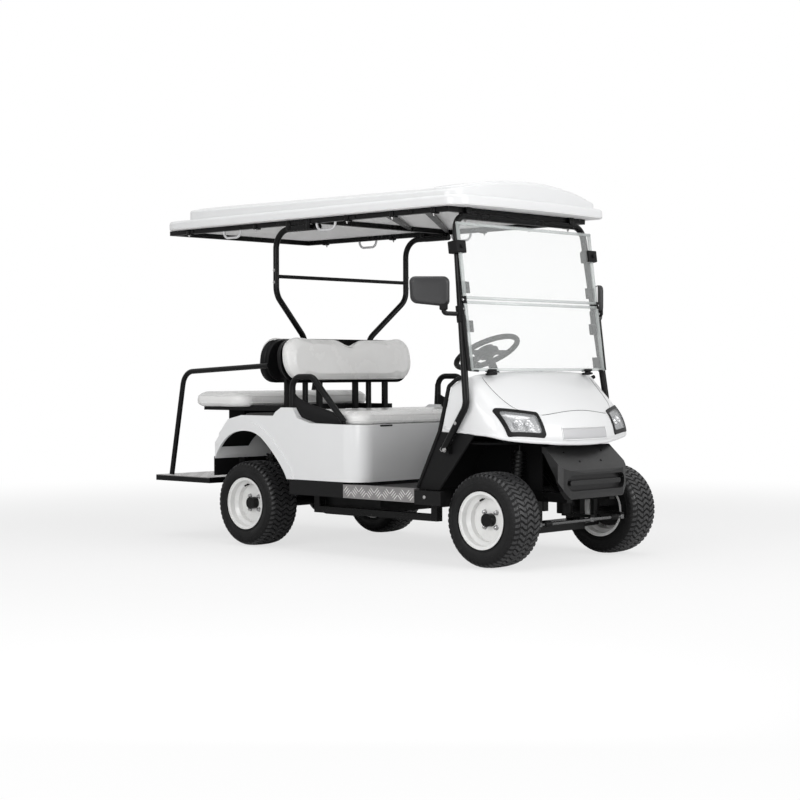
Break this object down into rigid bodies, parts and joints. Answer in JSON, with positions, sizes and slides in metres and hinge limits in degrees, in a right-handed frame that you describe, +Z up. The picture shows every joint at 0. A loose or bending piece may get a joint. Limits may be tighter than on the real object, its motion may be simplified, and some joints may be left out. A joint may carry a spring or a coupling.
{
  "type": "golf cart",
  "caption": "White golf cart with a moulded roof, folding windshield, bench seats back to back, a rear step and steered front wheels.",
  "frame": {"origin": "on the ground under the middle of the overall box", "axes": "+X forward, +Y to the left of a person in the seat, +Z up"},
  "size_m": [2.775, 1.4958, 1.8999],
  "materials": {
    "body_white": "gloss moulded body colour",
    "wheel_paint": "gloss white paint",
    "tyre": "matt rubber",
    "black_steel": "satin black powder coat",
    "bare_steel": "zinc-plated",
    "black_plastic": "fine-grained black moulding",
    "deck_mat": "ribbed dark grey mat",
    "roof_lining": "matt light grey lining",
    "grip_grey": "light grey moulded grip",
    "tread_plate": "chequered tread plate",
    "clear_glass": "clear sheet",
    "clear_lens": "clear lens",
    "seat_vinyl": "off-white sewn vinyl"
  },
  "bodies": {
    "cart": {"battery_pack": "black_plastic", "chassis_frame": "black_steel", "cowl_side_panels": "black_plastic", "dash_panel": "black_plastic", "floor_pan": "deck_mat", "front_apron": "black_plastic", "front_backrest_cushion": "seat_vinyl", "front_backrest_shell": "black_plastic", "front_cowl": "body_white", "front_inner_panel": "black_plastic", "front_pillars": "black_steel", "front_seat_cushion": "seat_vinyl", "front_suspension": "black_steel", "grab_handles": "grip_grey", "hand_rails": "black_steel", "headlight_bezels": "black_plastic", "headlight_lenses": "clear_lens", "hip_restraints": "black_steel", "hood_panel": "body_white", "leaf_springs": "black_steel", "mirrors": "black_plastic", "pedals": "black_plastic", "rear_axle": "black_steel", "rear_backrest_cushion": "seat_vinyl", "rear_backrest_shell": "black_plastic", "rear_body": "body_white", "rear_deck": "deck_mat", "rear_drums": "black_steel", "rear_liner": "black_plastic", "rear_seat_cushion": "seat_vinyl", "rear_step": "black_steel", "rear_struts": "black_steel", "roof_canopy": "body_white", "roof_frame": "black_steel", "roof_liner": "roof_lining", "seat_frame": "black_steel", "shock_absorbers": "black_steel", "side_sills": "black_plastic", "sill_plates": "tread_plate", "steering_column": "black_plastic", "step_plate": "tread_plate", "windshield_panes": "clear_glass"},
    "steering_knuckle_right": {"knuckle_right": "black_steel"},
    "steering_knuckle_left": {"knuckle_left": "black_steel"},
    "track_rod": {"tie_rod": "bare_steel"},
    "drop_arm": {"pitman_arm": "black_steel"},
    "hand_wheel": {"steering_wheel": "black_plastic"},
    "wheel_front_right": {"rim_front_right": "wheel_paint", "tyre_front_right": "tyre"},
    "wheel_front_left": {"rim_front_left": "wheel_paint", "tyre_front_left": "tyre"},
    "wheel_rear_right": {"rim_rear_right": "wheel_paint", "tyre_rear_right": "tyre"},
    "wheel_rear_left": {"rim_rear_left": "wheel_paint", "tyre_rear_left": "tyre"}
  },
  "joints": [
    {"name": "steer_right", "type": "hinge", "parent": "cart", "child": "steering_knuckle_right", "pos_m": [1.1165, -0.33, 0.2295], "axis": [0, 0, 1], "range_deg": [-30, 30]},
    {"name": "steer_left", "type": "hinge", "parent": "cart", "child": "steering_knuckle_left", "pos_m": [1.1165, 0.33, 0.2295], "axis": [0, 0, 1], "range_deg": [-30, 30]},
    {"name": "track_rod_swing", "type": "hinge", "parent": "steering_knuckle_right", "child": "track_rod", "pos_m": [1.2855, -0.33, 0.205], "axis": [0, 0, 1], "range_deg": [-30, 30]},
    {"name": "drop_arm_turn", "type": "hinge", "parent": "cart", "child": "drop_arm", "pos_m": [1.1165, 0.08, 0.2213], "axis": [0, 0, 1], "range_deg": [-30, 30]},
    {"name": "hand_wheel_turn", "type": "hinge", "parent": "cart", "child": "hand_wheel", "pos_m": [0.4665, 0.245, 1.04], "axis": [-0.4787, 0, 0.878], "range_deg": [-270, 270]},
    {"name": "roll_front_right", "type": "hinge", "parent": "steering_knuckle_right", "child": "wheel_front_right", "pos_m": [1.1165, -0.4635, 0.2295], "axis": [0, 1, 0], "continuous": true},
    {"name": "roll_front_left", "type": "hinge", "parent": "steering_knuckle_left", "child": "wheel_front_left", "pos_m": [1.1165, 0.4635, 0.2295], "axis": [0, 1, 0], "continuous": true},
    {"name": "roll_rear_right", "type": "hinge", "parent": "cart", "child": "wheel_rear_right", "pos_m": [-0.5415, -0.491, 0.2295], "axis": [0, 1, 0], "continuous": true},
    {"name": "roll_rear_left", "type": "hinge", "parent": "cart", "child": "wheel_rear_left", "pos_m": [-0.5415, 0.491, 0.2295], "axis": [0, 1, 0], "continuous": true}
  ],
  "couplings": [
    {"joint": "steer_left", "follows": "steer_right", "ratio": 1},
    {"joint": "track_rod_swing", "follows": "steer_right", "ratio": -1},
    {"joint": "drop_arm_turn", "follows": "steer_right", "ratio": 1},
    {"joint": "hand_wheel_turn", "follows": "steer_right", "ratio": 9}
  ]
}
